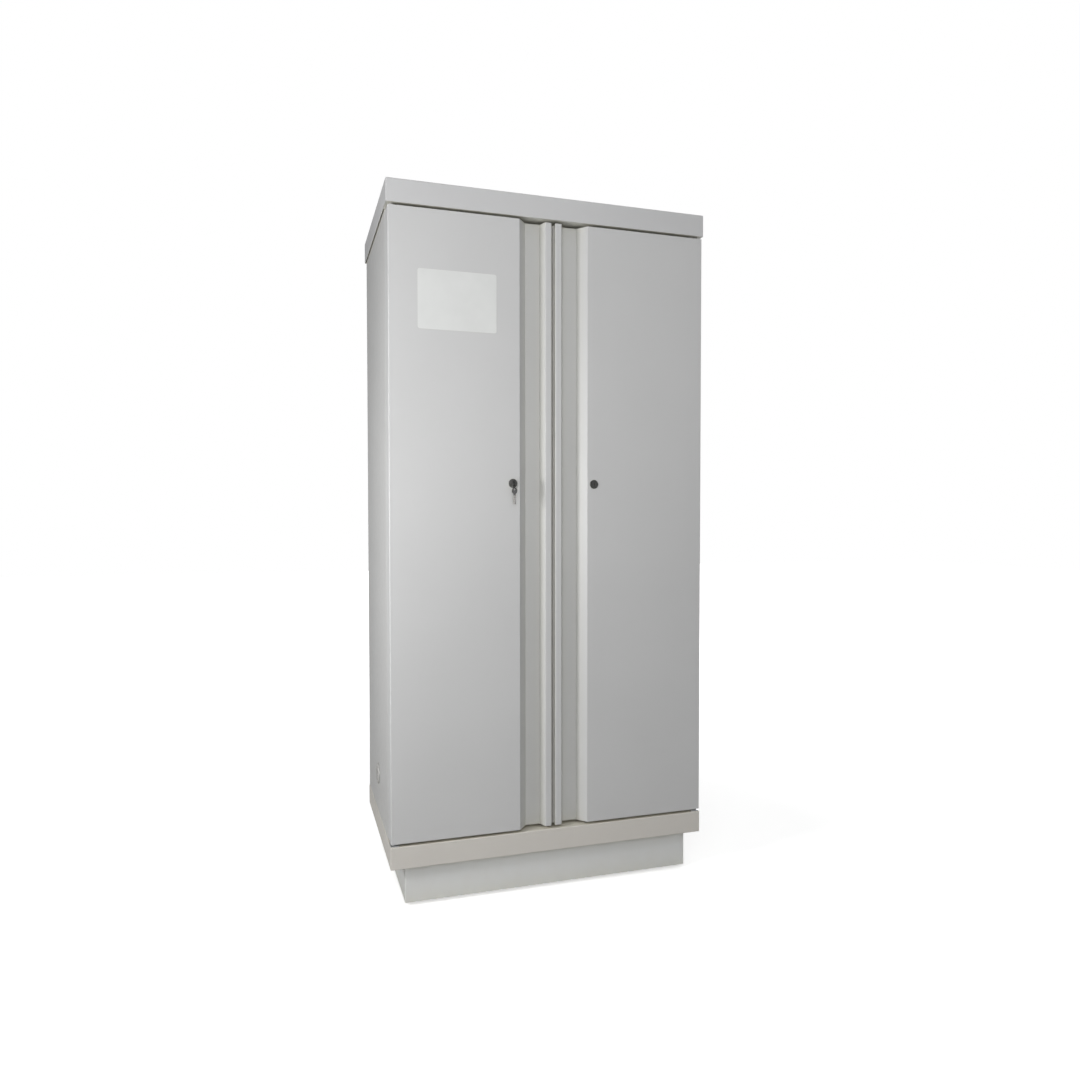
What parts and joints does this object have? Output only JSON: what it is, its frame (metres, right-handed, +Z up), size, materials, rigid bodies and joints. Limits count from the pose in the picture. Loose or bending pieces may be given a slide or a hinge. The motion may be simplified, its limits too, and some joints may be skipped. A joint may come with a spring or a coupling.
{
  "type": "fireproof safety cabinet",
  "caption": "Tall double-door steel safety cabinet with insulated walls, full-height finger grooves, rod locks, shelves, sump tray, exhaust collar and levelling feet.",
  "frame": {"origin": "on the floor, under the middle of the casing; the feet's pads stand at zero height", "axes": "+Z is up, the doors face -Y, and +X is to the right for someone facing the doors"},
  "size_m": [0.93, 0.5949, 2],
  "materials": {
    "enamel": "satin",
    "plinth_enamel": "satin",
    "shelf_enamel": "satin",
    "lining_steel": "matte",
    "zinc_steel": "satin",
    "lock_chrome": "polished",
    "key_brass": "polished",
    "fibre_board": "matte",
    "door_board": "matte",
    "seal_rubber": "matte",
    "duct_steel": "satin",
    "grille_plastic": "matte"
  },
  "bodies": {
    "carcass": {"plinth_front": "plinth_enamel", "plinth_rear": "plinth_enamel", "plinth_sides": "plinth_enamel", "foot_gussets": "zinc_steel", "base_pan": "enamel", "side_panel_left": "enamel", "side_panel_right": "enamel", "back_panel": "enamel", "front_frame": "enamel", "header_beam": "zinc_steel", "top_cap": "enamel", "base_insulation": "fibre_board", "side_insulation": "fibre_board", "back_insulation": "fibre_board", "top_insulation": "fibre_board", "side_linings": "lining_steel", "back_lining": "lining_steel", "top_lining": "lining_steel", "floor_lining": "lining_steel", "shelf_rails": "zinc_steel", "shelf_clips": "zinc_steel", "shelf_lower": "shelf_enamel", "shelf_middle": "shelf_enamel", "shelf_upper": "shelf_enamel", "sump_tray": "zinc_steel", "exhaust_collar": "duct_steel", "inlet_collar": "duct_steel", "inlet_grille": "grille_plastic", "spring_cartridges": "zinc_steel", "lower_pivots": "zinc_steel", "rod_keepers": "zinc_steel", "earth_stud": "zinc_steel"},
    "grate": {"sump_grate": "shelf_enamel"},
    "exhaust_damper": {"exhaust_flap": "duct_steel"},
    "inlet_damper": {"inlet_flap": "duct_steel"},
    "foot_front_left": {"foot_front_left": "zinc_steel"},
    "foot_front_right": {"foot_front_right": "zinc_steel"},
    "foot_rear_left": {"foot_rear_left": "zinc_steel"},
    "foot_rear_right": {"foot_rear_right": "zinc_steel"},
    "left_door": {"door_skin_left": "enamel", "door_cover_left": "enamel", "door_core_left": "door_board", "door_seals_left": "seal_rubber", "edge_fittings_left": "zinc_steel", "lock_left": "lock_chrome"},
    "left_plug": {"lock_plug_left": "lock_chrome"},
    "left_upper_rod": {"upper_rod_left": "zinc_steel"},
    "left_lower_rod": {"lower_rod_left": "zinc_steel"},
    "right_door": {"door_skin_right": "enamel", "door_cover_right": "enamel", "door_core_right": "door_board", "door_seals_right": "seal_rubber", "edge_fittings_right": "zinc_steel", "lock_right": "lock_chrome"},
    "right_plug": {"lock_plug_right": "lock_chrome"},
    "right_upper_rod": {"upper_rod_right": "zinc_steel"},
    "right_lower_rod": {"lower_rod_right": "zinc_steel"},
    "key": {"key": "key_brass"},
    "key_ring": {"key_ring": "zinc_steel"},
    "spare_key": {"spare_key": "key_brass"}
  },
  "joints": [
    {"name": "grate_lift", "type": "slide", "parent": "carcass", "child": "grate", "axis": [0, 0, 1], "range_m": [0, 0.05]},
    {"name": "exhaust_flap_turn", "type": "hinge", "parent": "carcass", "child": "exhaust_damper", "pos_m": [0, 0.15, 1.9], "axis": [1, 0, 0], "range_deg": [0, 90]},
    {"name": "inlet_flap_turn", "type": "hinge", "parent": "carcass", "child": "inlet_damper", "pos_m": [-0.435, 0.01, 0.29], "axis": [0, 1, 0], "range_deg": [0, 90]},
    {"name": "front_left_foot_height", "type": "slide", "parent": "carcass", "child": "foot_front_left", "axis": [0, 0, -1], "range_m": [0, 0.015]},
    {"name": "front_right_foot_height", "type": "slide", "parent": "carcass", "child": "foot_front_right", "axis": [0, 0, -1], "range_m": [0, 0.015]},
    {"name": "rear_left_foot_height", "type": "slide", "parent": "carcass", "child": "foot_rear_left", "axis": [0, 0, -1], "range_m": [0, 0.015]},
    {"name": "rear_right_foot_height", "type": "slide", "parent": "carcass", "child": "foot_rear_right", "axis": [0, 0, -1], "range_m": [0, 0.015]},
    {"name": "left_door_hinge", "type": "hinge", "parent": "carcass", "child": "left_door", "pos_m": [-0.448, -0.26, 0.19], "axis": [0, 0, 1], "range_deg": [-110, 0], "stiffness_Nm_per_rad": 3, "springref_deg": 9.74},
    {"name": "left_plug_turn", "type": "hinge", "parent": "left_door", "child": "left_plug", "pos_m": [-0.12, -0.26, 1.153], "axis": [0, 1, 0], "range_deg": [0, 90]},
    {"name": "left_upper_rod_slide", "type": "slide", "parent": "left_door", "child": "left_upper_rod", "axis": [0, 0, 1], "range_m": [0, 0.0189]},
    {"name": "left_lower_rod_slide", "type": "slide", "parent": "left_door", "child": "left_lower_rod", "axis": [0, 0, -1], "range_m": [0, 0.01885]},
    {"name": "right_door_hinge", "type": "hinge", "parent": "carcass", "child": "right_door", "pos_m": [0.448, -0.26, 0.19], "axis": [0, 0, 1], "range_deg": [0, 110], "stiffness_Nm_per_rad": 3, "springref_deg": -9.74},
    {"name": "right_plug_turn", "type": "hinge", "parent": "right_door", "child": "right_plug", "pos_m": [0.12, -0.26, 1.153], "axis": [0, -1, 0], "range_deg": [0, 90]},
    {"name": "right_upper_rod_slide", "type": "slide", "parent": "right_door", "child": "right_upper_rod", "axis": [0, 0, 1], "range_m": [0, 0.0189]},
    {"name": "right_lower_rod_slide", "type": "slide", "parent": "right_door", "child": "right_lower_rod", "axis": [0, 0, -1], "range_m": [0, 0.01885]},
    {"name": "key_slide", "type": "slide", "parent": "left_plug", "child": "key", "axis": [0, -1, 0], "range_m": [0, 0.03]},
    {"name": "ring_swing", "type": "hinge", "parent": "key", "child": "key_ring", "pos_m": [-0.12, -0.2965, 1.1513], "axis": [1, 0, 0], "range_deg": [-80, 6]},
    {"name": "spare_key_swing", "type": "hinge", "parent": "key_ring", "child": "spare_key", "pos_m": [-0.12, -0.2965, 1.1373], "axis": [1, 0, 0], "range_deg": [-45, 5]}
  ],
  "couplings": [
    {"joint": "left_plug_turn", "follows": "left_lower_rod_slide", "rad_per_m": 83.333},
    {"joint": "left_upper_rod_slide", "follows": "left_lower_rod_slide", "ratio": 1},
    {"joint": "right_plug_turn", "follows": "right_lower_rod_slide", "rad_per_m": 83.333},
    {"joint": "right_upper_rod_slide", "follows": "right_lower_rod_slide", "ratio": 1}
  ]
}
